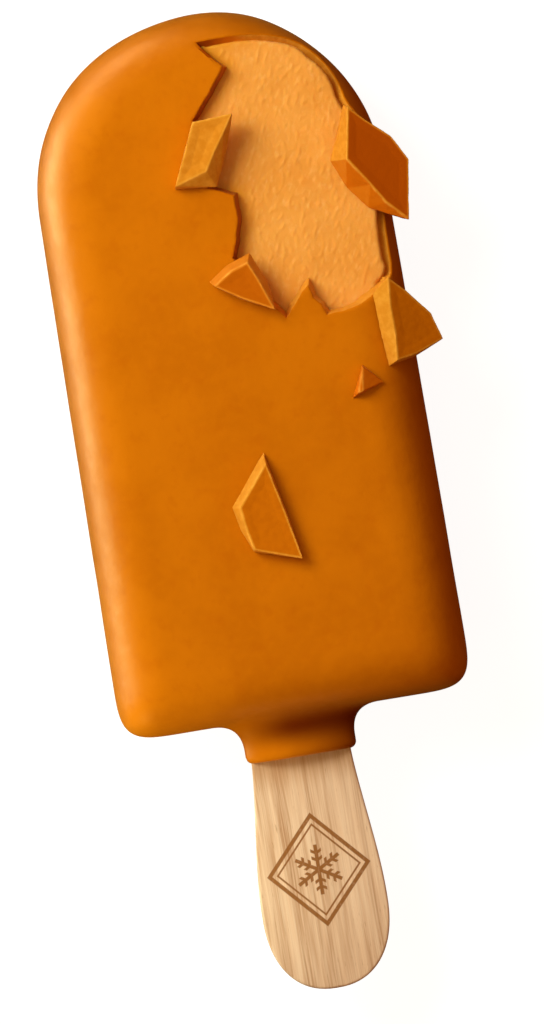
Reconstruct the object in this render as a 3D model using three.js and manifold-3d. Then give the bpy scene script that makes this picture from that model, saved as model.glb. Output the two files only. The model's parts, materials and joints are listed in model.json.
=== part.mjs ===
// An ice cream bar on a wooden stick, lying on its back with the broken side of its coating up.
// Millimetres. The origin is the middle of the flat back, +Y runs to the rounded tip, +Z is up.
//
// The bar is one closed formula, negative inside and positive outside. The coating's outside, its
// cavity and the ice cream are that formula at three sizes, each meshed by rays from a spine.

import * as THREE from "three";
import { mergeVertices } from "three/addons/utils/BufferGeometryUtils.js";
import Module from "manifold-3d";

const wasm = await Module();
wasm.setup();

// Bar, seen from above at its widest level
const MID_Z = 12; // level of the widest outline, half the thickness of the bar
const ARCH_Y = 24.2; // where the straight sides meet the arch of the tip
const ARCH_HEIGHT = 25.3;
const ARCH_POWER = 2.1;
const ARCH_HALF_WIDTH = 24.24;
const SIDE_DRAFT = 0.0072; // spread of each side towards the stick, per millimetre
const APEX_SHIFT = 1.5; // the very tip leans a little to +X
const APEX_SHIFT_POWER = 10;
const END_Y = -48.8; // straight end on the stick's side
const CORNER_REACH = 9; // the two end corners turn over this length
const CORNER_POWER = 4.4;

// Bar, in thickness
const EDGE_REACH = 8.5; // the edges round off over this width, the faces are flat inside it
const CROWN = 0.45; // fall of the front from its middle line to its sides
const WAVE = 0.12; // slow unevenness of the front
const OUTSIDE = { side: 0, face: 0, power: 2.4 };
const CAVITY = { side: 1.5, face: 2.4, power: 2.8 };
const GAP = 0.3; // clearance between separate pieces
const CORE = { side: CAVITY.side + GAP, face: CAVITY.face + GAP, power: CAVITY.power };

// Collar of coating round the stick
const NECK = { x: -0.39, halfWidth: 7.8, halfThickness: 3.6, startY: -45, endY: -54.6 };
const NECK_POWER = 2.3; // of its oval section
const NECK_LIP = 1; // rounding of its open end
const NECK_BLEND = 4; // width of the fillet between bar and collar

// Stick
const STICK_THICKNESS = 2;
const STICK_EDGE = 0.35; // rounding of its long edges
const STICK_X = -0.5; // its middle line where it leaves the collar
const STICK_LEAN = 0.0077; // sideways drift per millimetre away from the bar
const STICK_NARROW = 7; // half width in the bar and at the collar
const STICK_WIDE = 8.83; // half width at the handle
const STICK_WIDE_Y = -75.8;
const STICK_END_Y = -87.15;
const STICK_TOP_Y = 5.8; // hidden end, which makes a stick of the usual 93 mm
const STICK_END_POWER = 2.3;
const STICK_FLARE_POWER = 1.35;

// Break in the coating, as an outline on the front, anticlockwise
const CRACKED_EDGE = [
  [1.2, 45.2], [4.3, 41.2], [-1, 34.5], [0.9, 31.5], [1.1, 28], [-0.5, 25], [3, 23.4], [3, 20.2],
  [2.3, 17.3], [1.4, 14.9], [4.5, 9.1], [6.3, 7], [7.4, 5.5], [11.1, 9.6], [11.5, 7.7], [12.4, 6.7],
  [13, 5.1], [15.2, 5.2], [17.5, 5.7], [19.7, 6.8],
];
const RIM_CURVE = [
  [21.6, 8], [22.8, 9.6], [22.95, 12.9], [23.05, 17], [23.5, 21], [23.3, 26], [22, 31],
  [20.4, 34], [19.7, 36.9], [18.2, 39.9], [16, 42.4], [13.6, 43.9], [10.3, 44.9], [6.3, 45.3],
];
const RIM_STEPS = 26;
const FRACTURE_SLANT = 0.6; // how much further back the break's upper edge stands than its foot
const ABOVE = 14; // reach of the cutting solids over the surface and over the middle level

// Ice cream in the break: its face is a plane that lies below the cracked edge and ends flush with
// the rim, where it stands a little inside the coating
const FACE = { x: 2, y: 10, z: MID_Z + 9.7, slopeX: -0.05, slopeY: 0.012 };
const RIM_INSET = { level: 0.6, steep: 1.15 };

// Pieces of broken coating. Each has an upper and a lower outline with paired corners,
// anticlockwise, and a slope on which it is set down until it touches what lies below. Corners
// that lean on the ice cream reach down to it.
const SHARDS = [
  {
    name: "shard_left",
    thickness: 2.2,
    slope: [0.05, 0.01],
    top: [[-1, 34.2], [-4.8, 25.8], [-0.2, 27.2], [1.3, 29.7], [3, 32.1], [4.5, 34.5]],
    foot: [[-1.1, 34.3], [-4.9, 25.5], [0.9, 24.9], [1.8, 26.9], [3.2, 30.2], [4.6, 34.5]],
  },
  {
    name: "shard_right",
    thickness: 2.5,
    slope: [-0.36, 0.02],
    top: [
      [20.4, 32.9], [19.1, 25.8], [21.8, 21.8], [23.5, 19.1], [26.3, 16.2], [27.6, 24.5], [25.7, 28],
      [22.5, 30.8],
    ],
    foot: [
      [19.9, 33.4], [16.8, 26], [18.5, 22], [21, 18.8], [25.6, 16.5], [26.9, 24.3], [25, 27.6],
      [22, 30.9],
    ],
    leaning: [1, 2],
  },
  {
    name: "shard_low_left",
    thickness: 2,
    slope: [0.05, -0.05],
    top: [[-1.7, 11.4], [1.7, 9.2], [6, 6.9], [4.3, 11.6], [3.3, 13.9], [0.9, 13.1]],
    foot: [[-2.4, 12.2], [1.6, 9.1], [6.2, 6.9], [5.6, 11], [3.8, 15.3], [0.4, 14.1]],
  },
  {
    name: "shard_low_right",
    thickness: 2.4,
    slope: [-0.62, 0.03],
    top: [
      [22.1, 8.8], [21.7, 4.9], [21.8, 1], [21.5, -2.7], [24.3, -2.2], [28.3, -0.7], [27.2, 3],
      [24.3, 6.6],
    ],
    foot: [
      [21.4, 9.1], [19.6, 6.8], [19.8, 2], [20.2, -3.3], [24.1, -2.5], [27.5, -0.9], [26.5, 2.9],
      [23.8, 6.6],
    ],
  },
  {
    name: "chip",
    thickness: 1.6,
    slope: [-0.03, 0],
    top: [[16.6, -2.8], [15.6, -6.2], [16.1, -6.1]],
    foot: [[16.6, -2.5], [14.5, -6.9], [19.2, -5.3]],
  },
  {
    name: "shard_middle",
    thickness: 1.9,
    slope: [0.03, 0],
    top: [[1.3, -13.7], [-3.2, -19.2], [-2.9, -21.9], [-2.2, -25.3], [4.2, -27.5], [2.8, -20.5]],
    foot: [[1.2, -12.1], [-4.3, -19], [-3.7, -22], [-2.3, -25.5], [4.3, -27.6], [3, -20.4]],
  },
];

// Mesh sizes
const OUTSIDE_GRID = { around: 96, up: 12 };
const INSIDE_GRID = { around: 64, up: 7 };
const SPINE = { tipY: ARCH_Y, endY: -43.5 };

const DEGREES = Math.PI / 180;

// Length of a pair of coordinates measured with a power, where a negative one counts as zero.
function powerLength(a, b, power) {
  return (Math.max(a, 0) ** power + Math.max(b, 0) ** power) ** (1 / power);
}

// How far a point of the plan lies inside the bar's widest outline, up to CORNER_REACH.
function planDepth(x, y) {
  const rise = Math.max(0, y - ARCH_Y) / ARCH_HEIGHT;
  const across = Math.abs(x - APEX_SHIFT * Math.min(rise, 1) ** APEX_SHIFT_POWER);
  const sideDepth = ARCH_HALF_WIDTH + SIDE_DRAFT * (ARCH_Y - y) - across;
  const archRadius = Math.sqrt((across / ARCH_HALF_WIDTH) ** 2 + rise ** ARCH_POWER);
  const side = rise > 0 ? ARCH_HALF_WIDTH * (1 - archRadius) : sideDepth;
  const end = y - END_Y;
  return CORNER_REACH - powerLength(CORNER_REACH - side, CORNER_REACH - end, CORNER_POWER);
}

// Half thickness above the middle level, with the front's slight crown and slow waves.
function frontHalf(x, y) {
  const wave = Math.sin(x / 6.1 + y / 11) * Math.cos(y / 8.3 - x / 17);
  return MID_Z - CROWN * (x / ARCH_HALF_WIDTH) ** 2 - WAVE * (1 + wave) * 0.5;
}

// The bar's body at one of its sizes: negative inside, zero on the surface.
function bodyField(x, y, z, size) {
  const up = z - MID_Z;
  const half = (up > 0 ? frontHalf(x, y) : MID_Z) - size.face;
  const reach = EDGE_REACH - size.side;
  const inward = (EDGE_REACH - planDepth(x, y)) / reach;
  return reach * (powerLength(inward, Math.abs(up) / half, size.power) - 1);
}

// The collar, a flat oval bar with a rounded lip.
function neckField(x, y, z) {
  const across = Math.abs(x - NECK.x);
  const up = Math.abs(z - MID_Z);
  const share = powerLength(across / NECK.halfWidth, up / NECK.halfThickness, NECK_POWER);
  const round = share > 0 ? Math.hypot(across, up) * (1 - 1 / share) : -NECK.halfThickness;
  const beyond = Math.max(NECK.endY - y, y - NECK.startY);
  return powerLength(round + NECK_LIP, beyond + NECK_LIP, 2) - NECK_LIP;
}

// Outside of the coating: body and collar joined by a fillet.
function outsideField(x, y, z) {
  const body = bodyField(x, y, z, OUTSIDE);
  const neck = neckField(x, y, z);
  const near = Math.max(NECK_BLEND - Math.abs(body - neck), 0);
  return Math.min(body, neck) - (near * near) / (4 * NECK_BLEND);
}

// A ray across the +X half of the bar. Its place runs from 0 at the tip to 3 at the stick's end.
function spineRay(place) {
  const turn = place < 1 ? 1 - place : place < 2 ? 0 : 2 - place;
  const along = THREE.MathUtils.clamp(place - 1, 0, 1);
  return {
    y: THREE.MathUtils.lerp(SPINE.tipY, SPINE.endY, along),
    dx: Math.cos(turn * 90 * DEGREES),
    dy: Math.sin(turn * 90 * DEGREES),
  };
}

// Where a ray from the spine leaves the field, with mirror -1 for the -X half.
function surfacePoint(field, ray, mirror, elevation) {
  const flat = Math.cos(elevation);
  const direction = [mirror * ray.dx * flat, ray.dy * flat, Math.sin(elevation)];
  let inside = 0;
  let outside = 60;
  for (let i = 0; i < 40; i++) {
    const half = (inside + outside) / 2;
    const here = field(direction[0] * half, ray.y + direction[1] * half, MID_Z + direction[2] * half);
    if (here < 0) inside = half;
    else outside = half;
  }
  return new THREE.Vector3(...direction).multiplyScalar(inside).add(new THREE.Vector3(0, ray.y, MID_Z));
}

// Places of the rays, spread evenly along the widest outline and closer where it turns.
function spreadRays(field, count) {
  const FINE = 900;
  const TURN_LENGTH = 5; // each radian of turn counts as this much outline
  const points = [];
  for (let i = 0; i <= FINE; i++) points.push(surfacePoint(field, spineRay((3 * i) / FINE), 1, 0));
  const covered = [0];
  for (let i = 1; i <= FINE; i++) {
    const step = points[i].clone().sub(points[i - 1]);
    const last = points[Math.max(i - 1, 1)].clone().sub(points[Math.max(i - 2, 0)]);
    covered.push(covered[i - 1] + step.length() + TURN_LENGTH * step.angleTo(last));
  }
  const places = [];
  let i = 0;
  for (let k = 0; k <= count; k++) {
    while (i < FINE && covered[i] < (covered[FINE] * k) / count) i++;
    places.push((3 * i) / FINE);
  }
  return places;
}

// Closed mesh of a field: rings of points from straight below the spine to straight above it.
function fieldGeometry(field, grid) {
  const places = spreadRays(field, grid.around / 2);
  const loop = places.map((place) => [spineRay(place), 1]);
  for (let k = places.length - 2; k > 0; k--) loop.push([spineRay(places[k]), -1]);
  const rings = [];
  for (let k = -grid.up; k <= grid.up; k++) {
    const share = k / grid.up;
    const elevation = 90 * DEGREES * Math.sign(share) * Math.abs(share) ** 1.5;
    rings.push(loop.map(([ray, mirror]) => surfacePoint(field, ray, mirror, elevation)));
  }
  // The loop runs clockwise seen from above, so each quad is turned to face out.
  return surfaceBetween(rings, false, false, true);
}

function capTriangles(ring) {
  return THREE.ShapeUtils.triangulateShape(ring.map(({ x, y }) => new THREE.Vector2(x, y)), []);
}

// Whether the fourth corner of a quad stands out of the plane of the other three.
function standsOut(a, b, c, d) {
  const normal = b.clone().sub(a).cross(c.clone().sub(a));
  return normal.dot(d.clone().sub(a)) > 0;
}

// Triangles between rings of points, with optional caps, as an indexed geometry. Bent quads may be
// split so that each of them folds outward.
function surfaceBetween(rings, capFirst, capLast, clockwise, foldOut = false) {
  const count = rings[0].length;
  const index = [];
  const add = (a, b, c) => index.push(a, clockwise ? c : b, clockwise ? b : c);
  for (let r = 0; r + 1 < rings.length; r++) {
    for (let i = 0; i < count; i++) {
      const here = r * count + i;
      const next = r * count + ((i + 1) % count);
      const corners = [rings[r][i], rings[r][(i + 1) % count], rings[r + 1][(i + 1) % count]];
      const folded = foldOut && standsOut(...corners, rings[r + 1][i]);
      add(here, next, folded ? here + count : next + count);
      add(folded ? next : here, next + count, here + count);
    }
  }
  const last = (rings.length - 1) * count;
  if (capFirst) for (const [a, b, c] of capTriangles(rings[0])) add(a, c, b);
  if (capLast) for (const [a, b, c] of capTriangles(rings.at(-1))) add(last + a, last + b, last + c);
  const geometry = new THREE.BufferGeometry().setFromPoints(rings.flat());
  geometry.setIndex(index);
  return geometry;
}

function toSolid(geometry) {
  const bare = geometry.clone();
  bare.deleteAttribute("normal");
  bare.deleteAttribute("uv");
  const merged = mergeVertices(bare, 1e-4);
  const corners = merged.index.array;
  const kept = [];
  for (let i = 0; i < corners.length; i += 3) {
    const [a, b, c] = corners.slice(i, i + 3);
    if (a !== b && b !== c && c !== a) kept.push(a, b, c);
  }
  const vertProperties = merged.attributes.position.array;
  const triVerts = new Uint32Array(kept);
  return new wasm.Manifold(new wasm.Mesh({ numProp: 3, vertProperties, triVerts }));
}

function toGeometry(solid) {
  const mesh = solid.getMesh();
  const geometry = new THREE.BufferGeometry();
  geometry.setAttribute("position", new THREE.BufferAttribute(mesh.vertProperties, 3));
  geometry.setIndex(new THREE.BufferAttribute(mesh.triVerts, 1));
  geometry.computeVertexNormals();
  return geometry;
}

// Height of the front at a point of the plan, or of the floor outside the bar.
function frontZ(x, y, size = OUTSIDE) {
  const inward = (EDGE_REACH - planDepth(x, y)) / (EDGE_REACH - size.side);
  if (inward >= 1) return 0;
  const half = frontHalf(x, y) - size.face;
  return MID_Z + half * (1 - Math.max(inward, 0) ** size.power) ** (1 / size.power);
}

function outsideNormal(point) {
  const STEP = 0.05;
  const slope = (dx, dy, dz) =>
    bodyField(point.x + dx, point.y + dy, point.z + dz, OUTSIDE) -
    bodyField(point.x - dx, point.y - dy, point.z - dz, OUTSIDE);
  return new THREE.Vector3(slope(STEP, 0, 0), slope(0, STEP, 0), slope(0, 0, STEP)).normalize();
}

// Outline of the break: the cracked edge as it is, then a smooth curve along the rim.
function breakOutline() {
  const flat = ([x, y]) => new THREE.Vector3(x, y, 0);
  const rim = new THREE.CatmullRomCurve3([CRACKED_EDGE.at(-1), ...RIM_CURVE, CRACKED_EDGE[0]].map(flat));
  return [...CRACKED_EDGE.map(flat), ...rim.getSpacedPoints(RIM_STEPS).slice(1, -1)];
}

// The outline on the coating's surface, with the normal and the way across the edge at each point.
function breakEdge() {
  const rim = breakOutline().map(({ x, y }) => new THREE.Vector3(x, y, frontZ(x, y)));
  return rim.map((point, i) => {
    const normal = outsideNormal(point);
    const sides = [point.clone().sub(rim.at(i - 1)), rim[(i + 1) % rim.length].clone().sub(point)];
    const [before, after] = sides.map((side) => side.cross(normal).normalize());
    const across = before.clone().add(after).normalize();
    const mitre = Math.min(1 / Math.max(across.dot(before), 0.1), 1.8);
    return { point, normal, across: across.multiplyScalar(mitre) };
  });
}

// How far out of the break its wall stands at a height over the surface, where the front is flat.
function wallShift(normal, height) {
  return FRACTURE_SLANT * normal.z ** 2 * Math.min(height / CAVITY.face, 1);
}

// Points of the broken edge at a height over the surface, moved into the break by a clearance.
function breakRing(edge, height, clearance = 0) {
  return edge.map(({ point, normal, across }) =>
    point
      .clone()
      .addScaledVector(normal, height)
      .addScaledVector(across, wallShift(normal, height) - clearance),
  );
}

// Solid that takes the coating out of the break. Its walls stand square to the coating's surface,
// so the broken edge faces up where the coating turns down the side.
function breakSolid(edge) {
  const HEIGHTS = [-CAVITY.face - 1, -CAVITY.face, 0, ABOVE];
  const rings = HEIGHTS.map((height) => breakRing(edge, height));
  return toSolid(surfaceBetween(rings, true, true, false));
}

const faceZ = (x, y) => FACE.z + FACE.slopeX * (x - FACE.x) + FACE.slopeY * (y - FACE.y);

// Upright solid over an outline, between two levels that may slope.
function uprightSolid(outline, lowZ, highZ) {
  const level = (height) => outline.map(({ x, y }) => new THREE.Vector3(x, y, height(x, y)));
  return toSolid(surfaceBetween([level(lowZ), level(highZ)], true, true, false));
}

// Outline that the ice cream keeps to where the coating turns down the side. Along the cracked edge
// it lies outside the break.
function fillingOutline(edge) {
  return edge.map(({ point, normal, across }, i) => {
    const steep = Math.min(2 * (1 - normal.z), 1);
    const onRim = i >= CRACKED_EDGE.length;
    const inset = onRim ? THREE.MathUtils.lerp(RIM_INSET.level, RIM_INSET.steep, steep) : -GAP;
    return point.clone().addScaledVector(across.clone().setZ(0).normalize(), -inset);
  });
}

// Ice cream that fills the break from inside the core up to its face, clear of the broken coating.
function fillingSolid(edge) {
  const foot = breakRing(edge, -CAVITY.face, GAP);
  const inCore = foot.map(({ x, y }) => new THREE.Vector3(x, y, MID_Z + 3));
  const walls = [inCore, foot, breakRing(edge, 0, GAP), breakRing(edge, ABOVE, GAP)];
  return toSolid(surfaceBetween(walls, true, true, false)).intersect(
    uprightSolid(fillingOutline(edge), () => MID_Z, faceZ),
  );
}

// Solid that takes the core's own top away under the filling, so that the two never share a face.
function clearingSolid(edge) {
  const foot = breakRing(edge, -CAVITY.face, 2 * GAP);
  return uprightSolid(foot, (x, y) => faceZ(x, y) - 2 * GAP, () => MID_Z + ABOVE);
}

// Half width of the stick, from its hidden round end to the round end of the handle.
function stickHalfWidth(y) {
  if (y > NECK.endY) {
    const round = Math.max(y - (STICK_TOP_Y - STICK_NARROW), 0) / STICK_NARROW;
    return STICK_NARROW * Math.sqrt(Math.max(1 - round ** 2, 0));
  }
  if (y > STICK_WIDE_Y) {
    const share = (NECK.endY - y) / (NECK.endY - STICK_WIDE_Y);
    const flare = Math.sin(90 * DEGREES * share ** STICK_FLARE_POWER);
    return STICK_NARROW + (STICK_WIDE - STICK_NARROW) * flare;
  }
  const share = (STICK_WIDE_Y - y) / (STICK_WIDE_Y - STICK_END_Y);
  return STICK_WIDE * Math.max(1 - share ** STICK_END_POWER, 0) ** (1 / STICK_END_POWER);
}

// The stick, or with a clearance the slot that it sits in.
function stickSolid(clearance) {
  const HANDLE_STEPS = 14;
  const END_STEPS = 9;
  const levels = [];
  const between = THREE.MathUtils.lerp;
  const round = (k) => Math.sin((90 * DEGREES * k) / END_STEPS);
  const innerEndY = STICK_TOP_Y - STICK_NARROW;
  for (let k = END_STEPS; k >= 0; k--) levels.push(between(innerEndY, STICK_TOP_Y, round(k)));
  for (let k = 0; k <= HANDLE_STEPS; k++) levels.push(between(NECK.endY, STICK_WIDE_Y, k / HANDLE_STEPS));
  for (let k = 1; k <= END_STEPS; k++) levels.push(between(STICK_WIDE_Y, STICK_END_Y, round(k)));
  const middle = (y) => STICK_X - STICK_LEAN * (NECK.endY - y);
  const side = (mirror) => levels.map((y) => new THREE.Vector2(middle(y) + mirror * stickHalfWidth(y), y));
  const outline = [...side(1), ...side(-1).reverse().slice(1, -1)].reverse();
  const geometry = new THREE.ExtrudeGeometry(new THREE.Shape(outline), {
    depth: STICK_THICKNESS - 2 * STICK_EDGE,
    bevelThickness: STICK_EDGE + clearance,
    bevelSize: STICK_EDGE + clearance,
    bevelOffset: -STICK_EDGE,
    bevelSegments: 2,
    curveSegments: 1,
  });
  geometry.translate(0, 0, MID_Z - STICK_THICKNESS / 2 + STICK_EDGE);
  return toSolid(geometry);
}

// A shard set down on the bar: lowered on its slope until its foot is GAP above what it meets.
function shardGeometry(shard, edge) {
  const STEP = 0.25;
  const slopeZ = (x, y) => shard.slope[0] * x + shard.slope[1] * y;
  const inside = (polygon, x, y) => {
    let odd = false;
    polygon.forEach(([ax, ay], i) => {
      const [bx, by] = polygon.at(i - 1);
      if (ay > y !== by > y && x < ax + ((bx - ax) * (y - ay)) / (by - ay)) odd = !odd;
    });
    return odd;
  };
  const flat = ({ x, y }) => [x, y];
  const hole = edge.map(({ point }) => flat(point));
  const filled = fillingOutline(edge).map(flat);
  const xs = shard.foot.map(([x]) => x);
  const ys = shard.foot.map(([, y]) => y);
  let lift = -Infinity;
  for (let x = Math.min(...xs); x <= Math.max(...xs); x += STEP) {
    for (let y = Math.min(...ys); y <= Math.max(...ys); y += STEP) {
      if (!inside(shard.foot, x, y)) continue;
      const open = inside(filled, x, y) ? faceZ(x, y) : frontZ(x, y, CORE);
      const below = inside(hole, x, y) ? open : frontZ(x, y);
      lift = Math.max(lift, below - slopeZ(x, y));
    }
  }
  const ring = (points, height) =>
    points.map(([x, y]) => new THREE.Vector3(x, y, lift + slopeZ(x, y) + GAP + height));
  const foot = ring(shard.foot, 0);
  for (const corner of shard.leaning ?? []) foot[corner].z = faceZ(foot[corner].x, foot[corner].y) + GAP;
  return surfaceBetween([foot, ring(shard.top, shard.thickness)], true, true, false, true);
}

const caramel = new THREE.MeshStandardMaterial({ color: 0xd07005, roughness: 0.42, metalness: 0 });
const brokenCaramel = new THREE.MeshStandardMaterial({ color: 0xe2861c, roughness: 0.6, metalness: 0 });
const iceCream = new THREE.MeshStandardMaterial({ color: 0xeb9a3a, roughness: 0.75, metalness: 0 });
const birch = new THREE.MeshStandardMaterial({ color: 0xe1b98c, roughness: 0.8, metalness: 0 });

const group = new THREE.Group();

function addMesh(name, geometry, material) {
  const mesh = new THREE.Mesh(geometry, material);
  mesh.name = name;
  group.add(mesh);
}

const edge = breakEdge();
const slot = stickSolid(GAP);
const cavityField = (x, y, z) => bodyField(x, y, z, CAVITY);
const coreField = (x, y, z) => bodyField(x, y, z, CORE);

const coating = toSolid(fieldGeometry(outsideField, OUTSIDE_GRID))
  .subtract(toSolid(fieldGeometry(cavityField, INSIDE_GRID)))
  .subtract(slot)
  .subtract(breakSolid(edge));
addMesh("coating", toGeometry(coating), caramel);

const core = toSolid(fieldGeometry(coreField, INSIDE_GRID))
  .subtract(slot)
  .subtract(clearingSolid(edge))
  .add(fillingSolid(edge));
addMesh("ice_cream", toGeometry(core), iceCream);

addMesh("stick", toGeometry(stickSolid(0)), birch);

for (const shard of SHARDS) addMesh(shard.name, shardGeometry(shard, edge), brokenCaramel);

export default group;
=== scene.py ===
# Looks of an ice cream bar on a wooden stick: its coating is broken open at one shoulder, and loose
# pieces of it lie on the front. Shapes are worked out in millimetres, in the frame's own axes.

import json
import math

import bmesh
import bpy
import numpy as np
from mathutils import Matrix, Vector, geometry, noise

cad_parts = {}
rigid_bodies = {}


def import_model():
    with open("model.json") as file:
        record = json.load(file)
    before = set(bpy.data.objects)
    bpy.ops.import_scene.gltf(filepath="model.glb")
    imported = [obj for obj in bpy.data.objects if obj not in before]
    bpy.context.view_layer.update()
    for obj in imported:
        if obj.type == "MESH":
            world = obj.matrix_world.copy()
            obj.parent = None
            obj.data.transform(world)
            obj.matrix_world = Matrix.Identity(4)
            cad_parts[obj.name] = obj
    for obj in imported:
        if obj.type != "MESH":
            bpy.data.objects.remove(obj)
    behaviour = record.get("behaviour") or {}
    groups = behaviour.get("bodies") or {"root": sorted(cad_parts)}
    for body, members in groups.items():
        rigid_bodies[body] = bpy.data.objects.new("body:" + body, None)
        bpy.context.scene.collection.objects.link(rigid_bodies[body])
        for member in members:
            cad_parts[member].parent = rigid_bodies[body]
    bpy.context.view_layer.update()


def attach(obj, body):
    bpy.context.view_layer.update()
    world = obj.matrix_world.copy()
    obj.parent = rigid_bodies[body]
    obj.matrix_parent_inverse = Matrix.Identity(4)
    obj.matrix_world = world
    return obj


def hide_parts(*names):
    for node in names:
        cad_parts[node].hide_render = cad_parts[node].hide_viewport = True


for starter in list(bpy.data.objects):
    bpy.data.objects.remove(starter)
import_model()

MM = 0.001

# Bar, seen from above at its widest level
MID_Z = 12
ARCH_Y = 24.2
ARCH_HEIGHT = 25.3
ARCH_POWER = 2.1
ARCH_HALF_WIDTH = 24.24
SIDE_DRAFT = 0.0072
APEX_SHIFT = 1.5
APEX_SHIFT_POWER = 10
END_Y = -48.8
CORNER_REACH = 9
CORNER_POWER = 4.4

# Bar, in thickness. A size is how far inside the outside it lies, at the sides and at the faces
EDGE_REACH = 8.5
CROWN = 0.45
WAVE = 0.12
WAVE_ALONG = (6.1, 11)
WAVE_ACROSS = (8.3, 17)
OUTSIDE = {"side": 0, "face": 0, "power": 2.4}
CAVITY = {"side": 1.5, "face": 2.4, "power": 2.8}
CORE = {"side": 1.56, "face": 2.46, "power": 2.8}
RIPPLE = 0.08  # depth of the shallow hollows in the coating's outside
RIPPLE_SIZE = 7

# Collar of coating round the stick
NECK_X = -0.39
NECK_HALF_WIDTH = 7.8
NECK_HALF_THICKNESS = 3.6
NECK_START_Y = -45
NECK_END_Y = -54.6
NECK_POWER = 2.3
NECK_LIP = 1
NECK_BLEND = 4

# Stick
STICK_THICKNESS = 2
STICK_EDGE = 0.4
STICK_X = -0.5
STICK_LEAN = 0.0077
STICK_NARROW = 7
STICK_WIDE = 8.83
STICK_WIDE_Y = -75.8
STICK_END_Y = -87.15
STICK_TOP_Y = 5.8
STICK_END_POWER = 2.3
STICK_FLARE_POWER = 1.35
SLOT_CLEARANCE = 0.04

# Break in the coating, anticlockwise: a cracked edge on the front, then a curve along the rim
CRACKED_EDGE = [
    (1.2, 45.2), (4.3, 41.2), (-1, 34.5), (0.9, 31.5), (1.1, 28), (-0.5, 25), (3, 23.4), (3, 20.2),
    (2.3, 17.3), (1.4, 14.9), (4.5, 9.1), (6.3, 7), (7.4, 5.5), (11.1, 9.6), (11.5, 7.7), (12.4, 6.7),
    (13, 5.1), (15.2, 5.2), (17.5, 5.7), (19.7, 6.8),
]
RIM_CURVE = [
    (21.6, 8), (22.8, 9.6), (22.95, 12.9), (23.05, 17), (23.5, 21), (23.3, 26), (22, 31),
    (20.4, 34), (19.7, 36.9), (18.2, 39.9), (16, 42.4), (13.6, 43.9), (10.3, 44.9), (6.3, 45.3),
]
FRACTURE_SLANT = 0.6
FRACTURE_LIP = 0.28  # rounding of the coating's upper edge along the break
LIP_ANGLES = (20, 40, 60)  # degrees round the lip at which it has a ring
FRACTURE_LEVELS = (-1.8, -1.2, -0.7)  # rings on the wall between the coating's inner face and the lip
CUTTER_DEPTH = 0.6  # how far the cutter goes below the coating's inner face
CUTTER_CLEAR = 0.15  # height over the front up to which the lip's last slope goes on
CUTTER_TOP = 6
FRACTURE_STEP = 0.3  # spacing of points along the break
RIM_STEPS = 40
MITRE_LIMIT = 1.8
CRACK_SEED = 5
JAG = 0.02  # sideways wander of a crack, as a share of the length between two corners
CHIPPING = 0.07  # unevenness of the broken faces
CHIPPING_SIZES = (0.8, 2.5)
CHIPPING_RISE = 3  # the unevenness is full a third of a millimetre down
CRACKED_SHADE_X = 9  # painted shade on the broken faces, which face away from the light, starts here and deepens towards -X
CRACKED_SHADE_FADE = 6
# strength of the painted shade on the cracked walls
WALL_SHADE = 1.7

# Face of the ice cream in the break
FACE_X = 2
FACE_Y = 10
FACE_Z = MID_Z + 9.7
FACE_SLOPE_X = -0.05
FACE_SLOPE_Y = 0.012
FACE_STEP = 0.16  # spacing of the relief's points
FACE_RANGE_X = (-6, 26)
FACE_RANGE_Y = (2, 49)
FACE_ROUND = 0.5  # rounding of the face's outer edge
FACE_INSET = (0.6, 1.15)  # from the coating's rim, where that is level and where it is steep
GRAIN_HEIGHT = 0.085  # of the short bumps on the face
GRAIN_WIDTH = 0.55
GRAIN_LENGTH = 1.2
GRAIN_TURN = -24  # degrees from the bar's length
GRAIN_GAIN = 1.6
GRAIN_LOW = 0.05  # of the noise that makes the bumps, below which the face between them is flat
FINE_SHARE = 0.5  # height of the finest unevenness, as a share of the bumps
FINE_SIZE = 0.7
SWELL_HEIGHT = 0.12
SWELL_SIZE = 4
BLOCK_DEPTH = 2  # height over the middle level at which the filling block starts
BLOCK_OVERLAP = 0.3  # how far it reaches under the cracked edge, before the coating is cut off it
FOOT_CLEAR = 0.5  # how far the cut in the core stands out of the broken wall's foot
ICE_SHADE_REACH = 3  # how far the painted shade reaches over the ice cream from the cracked walls
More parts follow.
